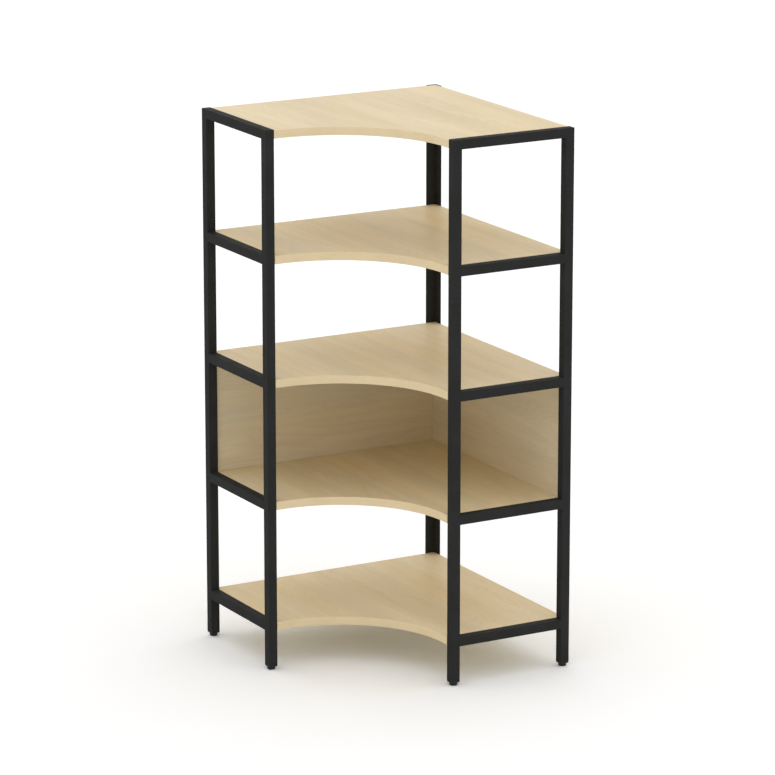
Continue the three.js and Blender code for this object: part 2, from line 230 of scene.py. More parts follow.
# Each tone of the wood goes from a cool colour to a warm one. The panels' film is painted a trace greyer,
# against the warm light that the boards throw into the boxed bay between them.
BOARD_WOOD = {"light": ("#EEDDBB", "#F2DEB5"), "dark": ("#D1BF9B", "#D8C196")}
PANEL_WOOD_GREYED_AGAINST_BOUNCE = {"light": ("#EEDFC1", "#F2E0BB"), "dark": ("#D1C1A1", "#D8C39C")}
PORE_COLOUR = linear("#B79B6C")
WIDE_FACE = 0.7
GROWTH_SHARE = 0.32
FIBRE_SHARE = 0.16
RING_SHARE = 0.18
RING_EDGE = 3.0
FILM_RELIEF = 0.01
FILM_ROUGHNESS = {"To Min": 0.38, "To Max": 0.46}


def on_wide_faces(tree, face):
    """One where the surface looks along this axis, and zero on the narrow sides."""
    normal = node(tree, "NewGeometry", out="Normal")
    part = node(tree, "SeparateXYZ", {"Vector": normal}, face)
    size = node(tree, "Math", {0: part}, operation="ABSOLUTE")
    return node(tree, "Math", {0: size, 1: WIDE_FACE}, operation="GREATER_THAN")


def maple_melamine(name, wood, grain, face):
    """The film on a board or panel. A tone from 0 to 1 adds up the layers by their shares, and picks a colour
    between the light and the dark of this wood. The hue moves both from cool to warm, and the pores lie over
    them."""
    material, tree, shader, place = new_material(name, Specular_IOR_Level=0.08, IOR=1.5)
    layers = {}
    for i, (layer, values) in enumerate(MAPLE_LAYERS.items()):
        layers[layer] = grain_layer(tree, place, grain, i * LAYER_SHIFT, **values)
    tone = node(tree, "Mix", {0: GROWTH_SHARE, 2: layers["streaks"], 3: layers["growth"]})
    tone = node(tree, "Mix", {0: FIBRE_SHARE, 2: tone, 3: layers["fibre"]})
    # Each ring darkens slowly, and ends at a thin line where the next one starts pale.
    ring = node(tree, "Math", {0: layers["rings"]}, operation="FRACT")
    ring = node(tree, "Math", {0: ring, 1: RING_EDGE}, operation="POWER")
    tone = node(tree, "Mix", {0: RING_SHARE, 2: tone, 3: ring})
    tones = {}
    for end, (cool, warm) in wood.items():
        tones[end] = node(tree, "Mix", {0: layers["hue"], 6: linear(cool), 7: linear(warm)}, **MIX_COLOURS)
    film = node(tree, "Mix", {0: tone, 6: tones["light"], 7: tones["dark"]}, **MIX_COLOURS)
    film = node(tree, "Mix", {0: layers["pores"], 6: film, 7: PORE_COLOUR}, **MIX_COLOURS)
    colour = node(tree, "Mix", {0: on_wide_faces(tree, face), 6: EDGING_COLOUR, 7: film}, **MIX_COLOURS)
    roughness = node(tree, "MapRange", {"Value": layers["fibre"], **FILM_ROUGHNESS})
    vary(tree, shader, colour, layers["fibre"], FILM_RELIEF, roughness)
    return material


BOARD_FILM = maple_melamine("maple-pattern melamine on the boards", BOARD_WOOD, "Y", "Z")
# The panels take the wood painted a trace greyer, against the warm light bounced inside the bay.
BACK_PANEL_FILM = maple_melamine("maple-pattern melamine on the back wall panel", PANEL_WOOD_GREYED_AGAINST_BOUNCE, "X", "Y")
RIGHT_PANEL_FILM = maple_melamine("maple-pattern melamine on the right wall panel", PANEL_WOOD_GREYED_AGAINST_BOUNCE, "Y", "X")
print("made:", BOARD_FILM.name, "|", BACK_PANEL_FILM.name, "|", RIGHT_PANEL_FILM.name)

# %% [markdown]
# ## Edging, moulded plastic and zinc
#
# The front edges carry a thin ABS strip in the plain tone of the print, with faint marks from the scraper
# that trims it. The feet and the tube inserts are moulded polyamide, which keeps the fine spark-eroded
# texture of its mould. The screws and studs are zinc-plated steel, a metal with a cool grey colour and a
# slightly cloudy shine. All three are small on the unit, so two layers of noise are enough for each.

# %% Scraped edging
EDGING_TONE_WIDTH = 60
# A scraper's marks are finer than a tenth of a millimetre. They are drawn at half a millimetre.
SCRAPER_MARKS = {"width": 0.5, "stretch": 30, "detail": 1.0}
EDGING_RELIEF = 0.005
EDGING_ROUGHNESS = {"To Min": 0.42, "To Max": 0.5}


def edging():
    material, tree, shader, place = new_material("scraped ABS edging", Specular_IOR_Level=0.2, IOR=1.5)
    cloud = node(tree, "TexNoise", {"Vector": place, "Scale": per_metre(EDGING_TONE_WIDTH)})
    cloud = node(tree, "MapRange", {"Value": cloud, **NOISE_SPAN})
    colour = node(tree, "Mix", {0: cloud, 6: linear("#F2DBB1"), 7: linear("#EED5A9")}, **MIX_COLOURS)
    marks = grain_layer(tree, place, "Z", 0.0, **SCRAPER_MARKS)
    roughness = node(tree, "MapRange", {"Value": marks, **EDGING_ROUGHNESS})
    vary(tree, shader, colour, marks, EDGING_RELIEF, roughness)
    return material


EDGING = edging()
print("made:", EDGING.name)

# %% Moulded polyamide
POLYAMIDE_TONE_WIDTH = 9
# The craters of spark erosion are about 0.05 mm wide. They are drawn eight times as coarse.
SPARK_WIDTH = 0.4
POLYAMIDE_RELIEF = 0.03
POLYAMIDE_ROUGHNESS = {"To Min": 0.48, "To Max": 0.58}


def moulded_polyamide():
    material, tree, shader, place = new_material("moulded polyamide", Specular_IOR_Level=0.35, IOR=1.53)
    cloud = node(tree, "TexNoise", {"Vector": place, "Scale": per_metre(POLYAMIDE_TONE_WIDTH)})
    cloud = node(tree, "MapRange", {"Value": cloud, **NOISE_SPAN})
    colour = node(tree, "Mix", {0: cloud, 6: linear("#121212"), 7: linear("#181817")}, **MIX_COLOURS)
    spark = node(tree, "TexNoise", {"Vector": place, "Scale": per_metre(SPARK_WIDTH), "Detail": 3.0})
    roughness = node(tree, "MapRange", {"Value": cloud, **POLYAMIDE_ROUGHNESS})
    vary(tree, shader, colour, spark, POLYAMIDE_RELIEF, roughness)
    return material


POLYAMIDE = moulded_polyamide()
print("made:", POLYAMIDE.name)

# %% Zinc plating
ZINC_TONE_WIDTH = 3
# Zinc crystals are a few hundredths of a millimetre wide. They are drawn about ten times as coarse.
CRYSTAL_WIDTH = 0.3
ZINC_RELIEF = 0.005
ZINC_ROUGHNESS = {"To Min": 0.26, "To Max": 0.4}


def zinc_plating():
    material, tree, shader, place = new_material("zinc-plated steel", Metallic=1.0)
    cloud = node(tree, "TexNoise", {"Vector": place, "Scale": per_metre(ZINC_TONE_WIDTH), "Detail": 3.0})
    cloud = node(tree, "MapRange", {"Value": cloud, **NOISE_SPAN})
    colour = node(tree, "Mix", {0: cloud, 6: linear("#B9BDC2"), 7: linear("#CDCFD0")}, **MIX_COLOURS)
    crystals = node(tree, "TexNoise", {"Vector": place, "Scale": per_metre(CRYSTAL_WIDTH)})
    roughness = node(tree, "MapRange", {"Value": cloud, **ZINC_ROUGHNESS})
    vary(tree, shader, colour, crystals, ZINC_RELIEF, roughness)
    return material


ZINC = zinc_plating()
print("made:", ZINC.name)

# %% [markdown]
# ## Dressing the solids
#
# The corner post, the boards, the panels and the inserts already have the right shape, so their solids stay
# and only take a material. A solid arrives as loose triangles, which shade as flat facets. Merging them,
# splitting them at sharp edges, and letting the large faces decide the direction of the shading makes the
# fold of the corner post look round while the flat faces stay flat. All three are modifiers, so the mesh
# itself isn't touched.

# %% Finish for a solid
LEVELS = 5
MERGE_DISTANCE = 0.002 * MM
SHARP_ANGLE = math.radians(35)
LARGE_FACES_FIRST = 100


def dress(name, material):
    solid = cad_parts[name]
    solid.data.materials.clear()
    solid.data.materials.append(material)
    solid.data.polygons.foreach_set("use_smooth", [True] * len(solid.data.polygons))
    solid.modifiers.new("merge", "WELD").merge_threshold = MERGE_DISTANCE
    solid.modifiers.new("sharp edges", "EDGE_SPLIT").split_angle = SHARP_ANGLE
    solid.modifiers.new("flat faces", "WEIGHTED_NORMAL").weight = LARGE_FACES_FIRST
    return solid


inserts = [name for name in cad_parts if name.endswith("_tube_insert")]
boards = [f"shelf_{level}" for level in range(1, LEVELS + 1)]
FINISH = {"corner_post": FRAME_COAT}
FINISH |= {name: POLYAMIDE for name in inserts}
FINISH |= {name: BOARD_FILM for name in boards}
FINISH |= {"back_wall_panel": BACK_PANEL_FILM, "right_wall_panel": RIGHT_PANEL_FILM}
for name, material in FINISH.items():
    dress(name, material)
print("dressed: the corner post,", len(inserts), "inserts,", len(boards), "boards, 2 panels")

# %% [markdown]
# ## Surfaces from arrays
#
# Every new piece below is a stack of rings: a lathe turns a profile into rings, a band carries its section
# along a path. One function turns such an array into a closed mesh. It takes several shells at once, so that
# all the welds of a frame can be a single piece.

# %% Rings to a closed mesh
def skin(name, shells, material, body="unit", replaced=(), joined=False):
    """Makes a closed piece from an array of shape (shells, rings, points, 3), in metres. Four neighbouring
    points make a face, and every ring closes on itself. If joined, the last ring meets the first, as on a
    torus, and otherwise a fan to the ring's middle closes each end. A shell's volume is a sixth of the sum of
    a · (b × c) over its triangles. It is negative where the faces point inwards, and such a shell is
    turned."""
    shells = np.asarray(shells)
    shells = shells[None] if shells.ndim == 3 else shells
    copies, rings, around = shells.shape[:3]
    corner = np.arange(copies * rings * around).reshape(copies, rings, around)
    beside = np.roll(corner, -1, axis=2)
    quads = np.stack([corner, beside, np.roll(beside, -1, axis=1), np.roll(corner, -1, axis=1)], axis=-1)
    points = shells.reshape(-1, 3)
    fans = np.empty((copies, 0, 3), int)
    if not joined:
        quads = quads[:, :-1]
        middle = corner.size + np.arange(2 * copies).reshape(copies, 2, 1).repeat(around, axis=2)
        points = np.concatenate([points, shells[:, [0, -1]].mean(axis=2).reshape(-1, 3)])
        first = np.stack([beside[:, 0], corner[:, 0], middle[:, 0]], axis=-1)
        last = np.stack([corner[:, -1], beside[:, -1], middle[:, 1]], axis=-1)
        fans = np.concatenate([first, last], axis=1)
    quads = quads.reshape(copies, -1, 4)
    triangles = np.concatenate([quads[..., :3], quads[..., [0, 2, 3]], fans], axis=1)
    a, b, c = np.moveaxis(points[triangles], 2, 0)
    inward = (a * np.cross(b, c)).sum(axis=(1, 2)) < 0
    quads[inward] = quads[inward][..., ::-1]
    fans[inward] = fans[inward][..., ::-1]
    mesh = bpy.data.meshes.new(name)
    mesh.from_pydata(points.tolist(), [], quads.reshape(-1, 4).tolist() + fans.reshape(-1, 3).tolist())
    mesh.materials.append(material)
    mesh.shade_smooth()
    mesh.set_sharp_from_angle(angle=SHARP_ANGLE)
    piece = bpy.data.objects.new(name, mesh)
    bpy.context.scene.collection.objects.link(piece)
    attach(piece, body)
    if replaced:
        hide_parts(*replaced)
    return piece


print("rings become meshes with skin()")

# %% Circles and lathes
QUARTER = math.pi / 2
FULL_TURN = 4 * QUARTER


def circle(points):
    """The cosine and sine of evenly spaced turns, without the last, which is the first again."""
    turn = np.linspace(0, FULL_TURN, points, endpoint=False)
    return np.cos(turn), np.sin(turn)


def lathe(radius, height, points):
    """Rings round the upright axis: x is radius · cos, y is radius · sin, and z the height. Radius and height
    are one value for a ring, or a row of values round it."""
    cosine, sine = circle(points)
    radius = np.broadcast_to(np.reshape(radius, (len(height), -1)), (len(height), points))
    height = np.broadcast_to(np.reshape(height, (len(height), -1)), radius.shape)
    return np.stack([radius * cosine, radius * sine, height], axis=-1)


print("a lathe of 2 rings and 4 points:", lathe([1, 1], [0, 1], 4).shape)

# %% [markdown]
# ## Front edge bands
#
# A band is 2 mm of ABS on the front edge, with its arrises milled round. The front edge is a short straight,
# a quarter circle that curves into the board, and another straight. A curve with a bevel would do, but
# carrying the section along the path keeps every station exact, and gives enough of them for the arc to stay
# smooth in a close view.

# %% The path and the section
BAND = 2
BAND_ARRIS = 1.5
ARC_CENTRE = -349
ARC_RADIUS = 345
ARC_STATIONS = 121
ARRIS_STEPS = 7


def front_edge(low):
    """Stations along the front edge and the direction into the board at each: the arc's points are its centre
    plus its radius times (cos, sin), and the straights go on from its ends to where the board ends, at
    low."""
    turn = np.linspace(QUARTER, 0, ARC_STATIONS)
    inwards = np.stack([np.cos(turn), np.sin(turn)], axis=-1)
    arc = ARC_CENTRE + ARC_RADIUS * inwards
    stations = np.concatenate([[[low, arc[0, 1]]], arc, [[arc[-1, 0], low]]])
    return stations, np.concatenate([inwards[:1], inwards, inwards[-1:]])


def band_section(height):
    """Depth into the board and height of each point round the section: square at the glued side, and a
    quarter circle of the arris radius at each front corner."""
    turn = np.linspace(0, QUARTER, ARRIS_STEPS)
    depth = BAND_ARRIS * (1 - np.sin(turn))
    upper = height - BAND_ARRIS * (1 - np.cos(turn))
    depth = np.concatenate([[BAND, BAND], depth, depth[::-1]])
    return depth, np.concatenate([[0, height], upper, height - upper[::-1]])


arc_length = ARC_RADIUS * QUARTER
station_gap = arc_length / (ARC_STATIONS - 1)
print("the arc is", round(arc_length), "mm long, with a station every", round(station_gap, 1), "mm")

# %% The five bands
def box_mm(node_name):
    """The lowest and the highest corner of a solid, in millimetres."""
    return [np.array(corner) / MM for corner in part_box(node_name)]


def edge_band(level):
    """A point of the band is a station of the path plus the section's depth times the direction into the
    board, at the height of the solid's underside plus the section's height."""
    node_name = f"shelf_{level}_edge_band"
    low, high = box_mm(node_name)
    stations, inwards = front_edge(low[0])
    depth, rise = band_section(high[2] - low[2])
    plan = stations[:, None] + depth[None, :, None] * inwards[:, None]
    height = np.broadcast_to(low[2] + rise, plan.shape[:2])
    rings = np.concatenate([plan, height[..., None]], axis=-1) * MM
    return skin(f"shelf_{level}_front_edging", rings, EDGING, replaced=[node_name])


bands = [edge_band(level) for level in range(1, LEVELS + 1)]
print("made:", len(bands), "bands of", len(bands[0].data.polygons), "faces")

# %% [markdown]
# ## Levelling feet
#
# Each foot is a moulded disc with a rounded lower edge, on a steel stud with a metric thread. The disc is a
# lathe profile. The thread is a lathe too, whose radius falls and rises with the height and with the turn: a
# ridge that climbs one pitch for each turn round. The two are separate pieces, because they are of different
# materials, and both ride on the body that the foot's joint lowers.

# %% The disc's profile
FOOT_RADIUS = 12
FOOT_LOWER_EDGE = 3
FOOT_UPPER_EDGE = 1
FOOT_TOP = 9.9
FOOT_HOLLOW = 0.4
FOOT_HOLLOW_RADII = (3, 7)
FOOT_EDGE_STEPS = 9
FOOT_POINTS = 64
STUD_RADIUS = 3.9


def foot_profile():
    """Radius and height from the underside's middle, up the side, to the stud: a shallow hollow, a quarter
    circle of the lower edge's radius, and a smaller one at the top."""
    turn = np.linspace(0, QUARTER, FOOT_EDGE_STEPS)
    lower_radius = FOOT_RADIUS - FOOT_LOWER_EDGE * (1 - np.sin(turn))
    upper_radius = FOOT_RADIUS - FOOT_UPPER_EDGE * (1 - np.cos(turn))
    lower_height = FOOT_LOWER_EDGE * (1 - np.cos(turn))
    upper_height = FOOT_TOP - FOOT_UPPER_EDGE * (1 - np.sin(turn))
    radius = np.concatenate([FOOT_HOLLOW_RADII, lower_radius, upper_radius, [STUD_RADIUS]])
    return radius, np.concatenate([[FOOT_HOLLOW] * 2, lower_height, upper_height, [FOOT_TOP]])


print("a foot's profile has", len(foot_profile()[0]), "points")

# %% The stud's thread
THREAD_PITCH = 1.25
THREAD_DEPTH = 0.6
STUD_END_CHAMFER = 1
STUD_RINGS_A_TURN = 8
STUD_POINTS = 28


def thread(height, points, pitch, depth):
    """How deep the thread's flank lies: a triangle wave of the height in pitches less the turn in whole
    turns."""
    turns = np.linspace(0, 1, points, endpoint=False)
    phase = (height[:, None] / pitch - turns[None]) % 1
    return depth * np.abs(2 * phase - 1)


def stud_rings(bottom, top):
    """The stud's radius less the thread's depth, and near the top no more than a cone of 45 degrees
    allows."""
    count = int((top - bottom) / THREAD_PITCH * STUD_RINGS_A_TURN)
    height = np.linspace(bottom, top, count)
    radius = STUD_RADIUS - thread(height, STUD_POINTS, THREAD_PITCH, THREAD_DEPTH)
    end = STUD_RADIUS - STUD_END_CHAMFER + (top - height)
    return lathe(np.minimum(radius, end[:, None]), height, STUD_POINTS)


print("a stud 20 mm long takes", len(stud_rings(0, 20)), "rings")

# %% The five feet
FEET = {
    "left_front_levelling_foot": "left_front_foot",
    "left_back_levelling_foot": "left_back_foot",
    "right_front_levelling_foot": "right_front_foot",
    "right_back_levelling_foot": "right_back_foot",
    "corner_levelling_foot": "corner_foot",
}
STUD_IN_DISC = 1


def levelling_foot(node_name, body):
    """The disc and the stud of one foot, moved to the middle of the solid that they replace."""
    low, high = box_mm(node_name)
    centre = np.array([(low[0] + high[0]) / 2, (low[1] + high[1]) / 2, 0])
    disc = lathe(*foot_profile(), FOOT_POINTS) + centre
    stud = stud_rings(FOOT_TOP - STUD_IN_DISC, high[2]) + centre
    name = node_name.replace("levelling_foot", "foot")
    skin(f"{name}_disc", disc * MM, POLYAMIDE, body, [node_name])
    skin(f"{name}_stud", stud * MM, ZINC, body, [node_name])


for node_name, body in FEET.items():
    levelling_foot(node_name, body)
print("made:", len(FEET), "feet, each a disc and a stud")

# %% [markdown]
# ## Screws
#
# Pan-head wood screws come up through the tabs and plates into the boards. From below, the head and its cross
# recess show. The head is a height over a disc, with the recess taken out of it, the shank a thread that
# climbs to a point, and the whole screw is one closed lathe. Each is turned by another angle, as a hand
# leaves them.

# %% The head with its recess
SCREW_HEAD = 4
SCREW_HEAD_HEIGHT = 2.6
SCREW_HEAD_EDGE = 1.2
CROWN_POWER = 3
CROWN_START = 2.8
CROWN_RINGS = 8
SCREW_POINTS = 48
RECESS_ARM = 2.3
RECESS_HALF_WIDTH = 0.55
RECESS_DEPTH = 1.5
RECESS_WALL = 0.2
RECESS_END = 0.9
RECESS_MIDDLE = 0.15
RECESS_REACH = 2.6
RECESS_RINGS = 22


def screw_head():
    """Rings of the head's outer face. The crown is part of a superellipse from the edge to the top, and the
    recess is as deep as two crossed bars whose walls slope a little and whose ends rise to the crown. Most of
    the rings lie in the recess, where the shape is finest."""
    inside = np.linspace(RECESS_MIDDLE, RECESS_REACH, RECESS_RINGS)
    radius = np.concatenate([inside, np.linspace(CROWN_START, SCREW_HEAD, CROWN_RINGS)])
    crown = SCREW_HEAD_HEIGHT - SCREW_HEAD_EDGE
    height = SCREW_HEAD_EDGE + crown * np.sqrt(np.clip(1 - (radius / SCREW_HEAD) ** CROWN_POWER, 0, 1))
    cosine, sine = circle(SCREW_POINTS)
    off_axis = radius[:, None] * np.minimum(np.abs(cosine), np.abs(sine))
    wall = np.clip((RECESS_HALF_WIDTH - off_axis) / RECESS_WALL, 0, 1)
    end = np.clip((RECESS_ARM - radius) / RECESS_END, 0, 1)
    recess = RECESS_DEPTH * wall * end[:, None]
    return lathe(radius, -(height[:, None] - recess), SCREW_POINTS)


print("a head has", len(screw_head()), "rings of", SCREW_POINTS, "points")

# %% The shank, and a screw for each solid
SCREW_SHANK = 2
SCREW_TIP = 4
TIP_SHARPNESS = 0.02
SCREW_PITCH = 1.8
SCREW_THREAD_DEPTH = 0.6
SCREW_RINGS_A_TURN = 9
TURN_STEP = 2.4


def screw_shank(length):
    """The bearing face and the threaded shank, whose radius shrinks to almost nothing over the tip."""
    height = np.linspace(0, length, int(length / SCREW_PITCH * SCREW_RINGS_A_TURN))
    core = SCREW_SHANK - thread(height, SCREW_POINTS, SCREW_PITCH, SCREW_THREAD_DEPTH)
    taper = np.clip((length - height) / SCREW_TIP, TIP_SHARPNESS, 1)
    return lathe(core * taper[:, None], height, SCREW_POINTS)


def screw(node_name, turn):
    """Head, rim of the bearing face and shank are one lathe. A point (x, y) of it goes to x · cos - y · sin
    and x · sin + y · cos of the turn, and all of it to the solid's seat."""
    low, high = box_mm(node_name)
    seat = np.array([(low[0] + high[0]) / 2, (low[1] + high[1]) / 2, low[2] + SCREW_HEAD_HEIGHT])
    rim = lathe([SCREW_HEAD], [0], SCREW_POINTS)
    rings = np.concatenate([screw_head(), rim, screw_shank(high[2] - seat[2])])
    cosine, sine = math.cos(turn), math.sin(turn)
    turned = rings @ np.array([[cosine, sine, 0], [-sine, cosine, 0], [0, 0, 1]]) + seat
    return skin(f"{node_name}_cross_recess", turned * MM, ZINC, replaced=[node_name])


screws = sorted(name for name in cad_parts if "_screw_" in name)
for i, name in enumerate(screws):
    screw(name, i * TURN_STEP)
print("made:", len(screws), "screws")

# %% [markdown]
# ## Square tube and tabs
#
# The solids draw the tube with the bend of rolled stock, 2.5 mm at each corner. Measured in the photograph,
# the posts and rails are as wide as tube with crisp corners would be, and the soft bend makes each of them
# look 7 % thinner. So the tubes are made again between the same faces and the same ends. A section goes along
# the outside and comes back along the bore, which makes a hollow tube of four rings. Where a post meets the
# top rail, its end follows a slope, and that is the mitre. The tabs under the boards are stamped plates with
# their arrises taken off. Their rings go up the outside and come back down through the hole for the screw.

# %% Outlines, tubes and plates
TUBE_WALL = 1.5
TUBE_CORNER = 0.8
BORE_CORNER = 0.5
TAB_CORNER = 1.5
TAB_ARRIS = 0.4
TAB_HOLE_RADIUS = 2.5
CORNER_STEPS = 5


def rounded_outline(low, high, radius):
    """Points round a rectangle between two corners. At each of its own corners they run over a quarter
    circle, whose centre lies in from the corner by the radius on both sides."""
    quadrant = (np.arange(4) + 0.5) * QUARTER
    turn = quadrant[:, None] + np.linspace(-0.5, 0.5, CORNER_STEPS) * QUARTER
    side = np.sign(np.stack([np.cos(quadrant), np.sin(quadrant)], axis=-1))
    centre = np.add(high, low) / 2 + side * (np.subtract(high, low) / 2 - radius)
    return (centre[:, None] + radius * np.stack([np.cos(turn), np.sin(turn)], axis=-1)).reshape(-1, 2)


def tube_rings(low, high, ends, cuts=(0, 0), long_side=0):
    """Rings of a hollow tube, as (side, side, length), whose section lies between low and high. An end's
    place is its own plus its cut times the distance from the tube's long side, so that a cut of 1 or -1 is a
    mitre."""
    rings = []
    for inset, radius in ((0, TUBE_CORNER), (TUBE_WALL, BORE_CORNER)):
        section = rounded_outline(np.add(low, inset), np.subtract(high, inset), radius)
        distance = np.abs(section[:, 1] - long_side)
        rings.append([np.column_stack([section, end + cut * distance]) for end, cut in zip(ends, cuts)])
    outside, bore = rings
    return np.array(outside + bore[::-1])


def plate_rings(low, high, hole):
    """Rings of a flat plate between two corners, drawn in by the arris below and above, and of a round hole
    in it. The hole's points are evenly spaced, and the middle one of each quarter lies on the diagonal, as
    the outline's."""
    insets = TAB_ARRIS, 0, 0, TAB_ARRIS
    heights = low[2], low[2] + TAB_ARRIS, high[2] - TAB_ARRIS, high[2]
    outlines = []
    for inset in insets:
        corners = np.add(low[:2], inset), np.subtract(high[:2], inset)
        outlines.append(rounded_outline(*corners, TAB_CORNER - inset))
    turn = (np.arange(4 * CORNER_STEPS) + 0.5) * QUARTER / CORNER_STEPS
    hole = hole + TAB_HOLE_RADIUS * np.stack([np.cos(turn), np.sin(turn)], axis=-1)
    outlines += [hole, hole]
    heights += high[2], low[2]
    levels = zip(outlines, heights)
    return np.array([np.column_stack([ring, np.full(len(ring), height)]) for ring, height in levels])


print("a tube is an array of", tube_rings((0, 0), (28, 28), (0, 400)).shape)

# %% The side frames' tubes and tabs
TAB_WIDTH = 40
TAB_SPACING = 220
SHEET = 3


def frame_boxes(name, order):
    """The two corners of the box of each piece of a side frame, as (across, along, height). Across runs from
    the frame's outer face inwards, and order carries (x, y, z) to the three: the right frame has x and y
    swapped."""
    parts = ["front_post", "back_post", *(f"rail_{level}" for level in range(1, LEVELS + 1))]
    return {part: [corner[order] for corner in box_mm(f"{name}_frame_{part}")] for part in parts}


def frame_tube(name, part, rings, order):
    """One post or rail. Smooth shading would bend round its narrow corners far into the flat faces, so these
    decide the direction of the shading, as on the solids."""
    node_name = f"{name}_frame_{part}"
    rings = rings[..., order] * MM
    piece = skin(f"{node_name}_tube", rings, FRAME_COAT, replaced=[node_name], joined=True)
    flat_faces = piece.modifiers.new("flat faces", "WEIGHTED_NORMAL")
    flat_faces.weight, flat_faces.keep_sharp = LARGE_FACES_FIRST, True


def frame_steel(name, order):
    """Posts have their section in (across, along) and their length in height. Rails have it in (across,
    height)."""
    boxes = frame_boxes(name, order)
    front, back = boxes["front_post"], boxes["back_post"]
    for part, (low, high), outer in (("front_post", front, front[0][1]), ("back_post", back, back[1][1])):
        rings = tube_rings(low[:2], high[:2], (low[2], high[2]), cuts=(0, -1), long_side=outer)
        frame_tube(name, part, rings, order)
    face, inner_face = front[0][0], front[1][0]
    middle = (front[0][1] + back[1][1]) / 2
    tabs = []
    for level in range(1, LEVELS + 1):
        low, high = boxes[f"rail_{level}"]
        section = (face, high[2] - (inner_face - face)), (inner_face, high[2])
        cuts = (1, -1) if level == LEVELS else (0, 0)
        rings = tube_rings(*section, (low[1], high[1]), cuts, long_side=high[2])
        frame_tube(name, f"rail_{level}", rings[..., [0, 2, 1]], order)
        for along in (middle - TAB_SPACING / 2, middle + TAB_SPACING / 2):
            root = inner_face - TUBE_WALL, along - TAB_WIDTH / 2, low[2]
            tip = high[0], along + TAB_WIDTH / 2, low[2] + SHEET
            tabs.append(plate_rings(root, tip, ((inner_face + high[0]) / 2, along)))
    skin(f"{name}_frame_tabs", np.array(tabs)[..., order] * MM, FRAME_COAT, joined=True)
    return len(tabs)


FRAME_ORDER = {"left": [0, 1, 2], "right": [1, 0, 2]}
tab_count = sum(frame_steel(name, order) for name, order in FRAME_ORDER.items())
print("made: 4 posts, 10 rails and", tab_count, "tabs")

# %% [markdown]
# ## Welds on the side frames
#
# The rails are welded in between the posts, and the top corners are mitred. On the two broad sides of each
# frame the beads fill the shallow groove where two tubes meet and are ground flush, so that the eye runs
# straight over them. In the inner corners they are left as a small fillet with a ripple. A bead is a ring of
# circles carried round the end of the rail, wide at the sides and narrow above and below. Grinding is one
# line: whatever stands out past the frame's two faces is clipped to them.

# %% The path round a rail's end
BEAD_STATIONS = 120
CORNER_POWER = 6
FINE_STEPS = 4001


def round_the_rail(half_width, half_height):
    """Points and outward directions of a superellipse, evenly spaced, and how far along each lies: each
    coordinate is its half size times the cosine or sine with its sign, raised to two over the power. The
    outward direction is the path's own, turned by a quarter."""
    turn = np.linspace(0, FULL_TURN, FINE_STEPS)

    def place(angle):
        parts = np.cos(angle), np.sin(angle)
        curve = [np.sign(part) * np.abs(part) ** (2 / CORNER_POWER) for part in parts]
        return np.stack([half_width * curve[0], half_height * curve[1]], axis=-1)

    steps = np.linalg.norm(np.diff(place(turn), axis=0), axis=1)
    length = np.concatenate([[0], np.cumsum(steps)])
    even = np.linspace(0, length[-1], BEAD_STATIONS, endpoint=False)
    points = place(np.interp(even, length, turn))
    ahead = np.roll(points, -1, axis=0) - np.roll(points, 1, axis=0)
    outward = np.stack([ahead[:, 1], -ahead[:, 0]], axis=-1)
    return points, outward / np.linalg.norm(outward, axis=1, keepdims=True), even


print("round a 28 mm tube:", round(round_the_rail(14, 14)[2][-1]), "mm")

# %% Two kinds of bead
FACE_BEAD = 2.6
INNER_BEAD = 1.2
# How deep the bead's middle lies under the frame's broad faces, and under the rail's upper and lower face.
UNDER_FACE = 1.6
UNDER_RAIL = 0.4
BEAD_POINTS = 14
RIPPLE = 0.05
RIPPLE_PITCH = 1.7
NEARLY_UPRIGHT = 0.9
# A little under 1, so that the last ring keeps a tenth of the radius.
END_ROUNDING = 0.99


def rail_bead(across, along, height):
    """Rings of a bead round a rail's end, as (across, along, height). Across and height are the rail's (low,
    high) there, and along is where its end meets the post. The radius goes from the inner to the face bead
    with the square of the outward direction's part across, and ripples along the bead."""
    half_width = (across[1] - across[0]) / 2 - UNDER_FACE
    half_height = (height[1] - height[0]) / 2 - UNDER_RAIL
    points, outward, even = round_the_rail(half_width, half_height)
    radius = INNER_BEAD + (FACE_BEAD - INNER_BEAD) * outward[:, 0] ** 2
    radius = radius * (1 + RIPPLE * np.sin(FULL_TURN * even / RIPPLE_PITCH))
    cosine, sine = circle(BEAD_POINTS)
    plan = points[:, None] + (radius[:, None] * cosine)[..., None] * outward[:, None]
    depth = along + radius[:, None] * sine
    middle = [(across[0] + across[1]) / 2, (height[0] + height[1]) / 2]
    return np.stack([middle[0] + plan[..., 0], depth, middle[1] + plan[..., 1]], axis=-1)


def straight_bead(start, end, radius):
    """Rings of a bead from one point to another, with the same ripple. Near an end the radius is multiplied
    by the root of one less the square of how far into the last radius it is, which rounds it off. The circles
    lie square to the bead: their first side is its cross product with the upright, or with x if the bead
    itself is upright."""
    start, end = np.array(start, float), np.array(end, float)
    length = np.linalg.norm(end - start)
    ahead = (end - start) / length
    side = np.cross(ahead, [0, 0, 1] if abs(ahead[2]) < NEARLY_UPRIGHT else [1, 0, 0])
    side /= np.linalg.norm(side)
    lift = np.cross(side, ahead)
    even = np.linspace(0, length, BEAD_STATIONS // 2)
    from_end = np.clip(np.minimum(even, length - even) / radius, 0, 1)
    size = radius * (1 + RIPPLE * np.sin(FULL_TURN * even / RIPPLE_PITCH))
    size = size * np.sqrt(1 - END_ROUNDING * (1 - from_end) ** 2)
    cosine, sine = circle(BEAD_POINTS)
    centre = start + even[:, None] * ahead
    return centre[:, None] + size[:, None, None] * (cosine[:, None] * side + sine[:, None] * lift)


print("a round bead is an array of", rail_bead((0, 28), 0, (0, 28)).shape)

# %% All beads of a side frame
# The mitre's bead lies this deep under the faces, and its radius is a tenth more, so that it just breaks
# through them.
MITRE_BEAD = 1
MITRE_OVERLAP = 1.1
# A ground bead stays this far under the face, because two surfaces in one plane would flicker.
GROUND_BELOW = 0.03


